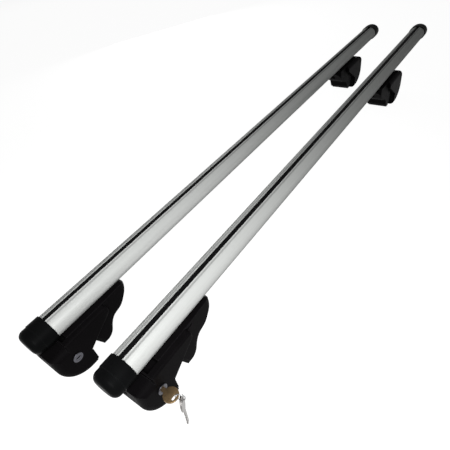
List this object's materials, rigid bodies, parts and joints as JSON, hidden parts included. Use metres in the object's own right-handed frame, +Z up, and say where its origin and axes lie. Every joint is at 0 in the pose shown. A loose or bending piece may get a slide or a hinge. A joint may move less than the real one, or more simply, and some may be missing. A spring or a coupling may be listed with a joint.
{
  "type": "roof rack",
  "caption": "Pair of oval aluminium roof bars with rubber-filled slots, end caps, and sliding lockable clamp feet that grip raised roof rails.",
  "frame": {"origin": "on the ground, in the middle of the box around the pair of bars", "axes": "+X to the right across the bars, +Y along the bars away from the key, +Z up"},
  "size_m": [0.232, 1.216, 0.1062],
  "materials": {
    "bar_aluminium": "satin anodised",
    "strip_rubber": "matte",
    "cap_plastic": "fine grained",
    "foot_plastic": "fine grained",
    "pad_rubber": "ribbed matte",
    "lock_metal": "satin plated",
    "key_brass": "worn",
    "key_steel": "bright plated",
    "zinc_steel": "zinc plated"
  },
  "bodies": {
    "bars": {"right_cross_bar": "bar_aluminium", "right_top_strip": "strip_rubber", "right_cap_near": "cap_plastic", "right_cap_far": "cap_plastic", "left_cross_bar": "bar_aluminium", "left_top_strip": "strip_rubber", "left_cap_near": "cap_plastic", "left_cap_far": "cap_plastic"},
    "right_near_foot": {"right_near_foot_body": "foot_plastic", "right_near_jaw_pad": "pad_rubber", "right_near_slot_plate": "zinc_steel", "right_near_fixing_screws": "zinc_steel", "right_near_clamp_nut": "zinc_steel"},
    "right_near_clamp": {"right_near_hook": "foot_plastic", "right_near_hook_pad": "pad_rubber", "right_near_lock_barrel": "lock_metal"},
    "right_near_bolt": {"right_near_clamp_bolt": "zinc_steel"},
    "right_near_lock": {"right_near_lock_cylinder": "lock_metal", "right_near_lock_cam": "zinc_steel", "key": "key_brass"},
    "ring": {"key_ring": "key_steel"},
    "spare": {"spare_key": "key_steel"},
    "left_near_foot": {"left_near_foot_body": "foot_plastic", "left_near_jaw_pad": "pad_rubber", "left_near_slot_plate": "zinc_steel", "left_near_fixing_screws": "zinc_steel", "left_near_clamp_nut": "zinc_steel"},
    "left_near_clamp": {"left_near_hook": "foot_plastic", "left_near_hook_pad": "pad_rubber", "left_near_lock_barrel": "lock_metal"},
    "left_near_bolt": {"left_near_clamp_bolt": "zinc_steel"},
    "left_near_lock": {"left_near_lock_cylinder": "lock_metal", "left_near_lock_cam": "zinc_steel"},
    "right_far_foot": {"right_far_foot_body": "foot_plastic", "right_far_jaw_pad": "pad_rubber", "right_far_slot_plate": "zinc_steel", "right_far_fixing_screws": "zinc_steel", "right_far_clamp_nut": "zinc_steel"},
    "right_far_clamp": {"right_far_hook": "foot_plastic", "right_far_hook_pad": "pad_rubber", "right_far_lock_barrel": "lock_metal"},
    "right_far_bolt": {"right_far_clamp_bolt": "zinc_steel"},
    "right_far_lock": {"right_far_lock_cylinder": "lock_metal", "right_far_lock_cam": "zinc_steel"},
    "left_far_foot": {"left_far_foot_body": "foot_plastic", "left_far_jaw_pad": "pad_rubber", "left_far_slot_plate": "zinc_steel", "left_far_fixing_screws": "zinc_steel", "left_far_clamp_nut": "zinc_steel"},
    "left_far_clamp": {"left_far_hook": "foot_plastic", "left_far_hook_pad": "pad_rubber", "left_far_lock_barrel": "lock_metal"},
    "left_far_bolt": {"left_far_clamp_bolt": "zinc_steel"},
    "left_far_lock": {"left_far_lock_cylinder": "lock_metal", "left_far_lock_cam": "zinc_steel"}
  },
  "joints": [
    {"name": "right_near_foot_slide", "type": "slide", "parent": "bars", "child": "right_near_foot", "axis": [0, 1, 0], "range_m": [-0.0275, 0.423]},
    {"name": "right_near_clamp_slide", "type": "slide", "parent": "right_near_foot", "child": "right_near_clamp", "axis": [0, 1, 0], "range_m": [-0.015, 0.016]},
    {"name": "right_near_bolt_turn", "type": "hinge", "parent": "right_near_clamp", "child": "right_near_bolt", "pos_m": [0.04657, -0.525, 0.054], "axis": [0, 1, 0], "range_deg": [-4322, 4610]},
    {"name": "right_near_lock_turn", "type": "hinge", "parent": "right_near_clamp", "child": "right_near_lock", "pos_m": [0.07957, -0.547, 0.043], "axis": [-1, 0, 0], "range_deg": [0, 90]},
    {"name": "left_near_foot_slide", "type": "slide", "parent": "bars", "child": "left_near_foot", "axis": [0, 1, 0], "range_m": [-0.004, 0.4465]},
    {"name": "left_near_clamp_slide", "type": "slide", "parent": "left_near_foot", "child": "left_near_clamp", "axis": [0, 1, 0], "range_m": [-0.026, 0.005]},
    {"name": "left_near_bolt_turn", "type": "hinge", "parent": "left_near_clamp", "child": "left_near_bolt", "pos_m": [-0.08143, -0.5535, 0.054], "axis": [0, 1, 0], "range_deg": [-7490, 1442]},
    {"name": "left_near_lock_turn", "type": "hinge", "parent": "left_near_clamp", "child": "left_near_lock", "pos_m": [-0.04843, -0.5755, 0.043], "axis": [-1, 0, 0], "range_deg": [0, 90]},
    {"name": "right_far_foot_slide", "type": "slide", "parent": "bars", "child": "right_far_foot", "axis": [0, -1, 0], "range_m": [-0.2385, 0.212]},
    {"name": "right_far_clamp_slide", "type": "slide", "parent": "right_far_foot", "child": "right_far_clamp", "axis": [0, -1, 0], "range_m": [-0.025, 0.006]},
    {"name": "right_far_bolt_turn", "type": "hinge", "parent": "right_far_clamp", "child": "right_far_bolt", "pos_m": [0.04657, 0.32, 0.054], "axis": [0, -1, 0], "range_deg": [-7202, 1730]},
    {"name": "right_far_lock_turn", "type": "hinge", "parent": "right_far_clamp", "child": "right_far_lock", "pos_m": [0.01357, 0.342, 0.043], "axis": [1, 0, 0], "range_deg": [0, 90]},
    {"name": "left_far_foot_slide", "type": "slide", "parent": "bars", "child": "left_far_foot", "axis": [0, -1, 0], "range_m": [-0.1485, 0.302]},
    {"name": "left_far_clamp_slide", "type": "slide", "parent": "left_far_foot", "child": "left_far_clamp", "axis": [0, -1, 0], "range_m": [-0.03, 0.001]},
    {"name": "left_far_bolt_turn", "type": "hinge", "parent": "left_far_clamp", "child": "left_far_bolt", "pos_m": [-0.08143, 0.389, 0.054], "axis": [0, -1, 0], "range_deg": [-8642, 290]},
    {"name": "left_far_lock_turn", "type": "hinge", "parent": "left_far_clamp", "child": "left_far_lock", "pos_m": [-0.11443, 0.411, 0.043], "axis": [1, 0, 0], "range_deg": [0, 90]},
    {"name": "ring_swing", "type": "hinge", "parent": "right_near_lock", "child": "ring", "pos_m": [0.10158, -0.54339, 0.043], "axis": [0.4067, -0.9135, 0], "range_deg": [0, 45]},
    {"name": "spare_key_swing", "type": "hinge", "parent": "ring", "child": "spare", "pos_m": [0.10355, -0.54251, 0.03404], "axis": [0.9135, 0.4067, 0], "range_deg": [-30, 8]}
  ],
  "couplings": [
    {"joint": "right_near_bolt_turn", "follows": "right_near_clamp_slide", "rad_per_m": 5026.5},
    {"joint": "left_near_bolt_turn", "follows": "left_near_clamp_slide", "rad_per_m": 5026.5},
    {"joint": "right_far_bolt_turn", "follows": "right_far_clamp_slide", "rad_per_m": 5026.5},
    {"joint": "left_far_bolt_turn", "follows": "left_far_clamp_slide", "rad_per_m": 5026.5}
  ]
}
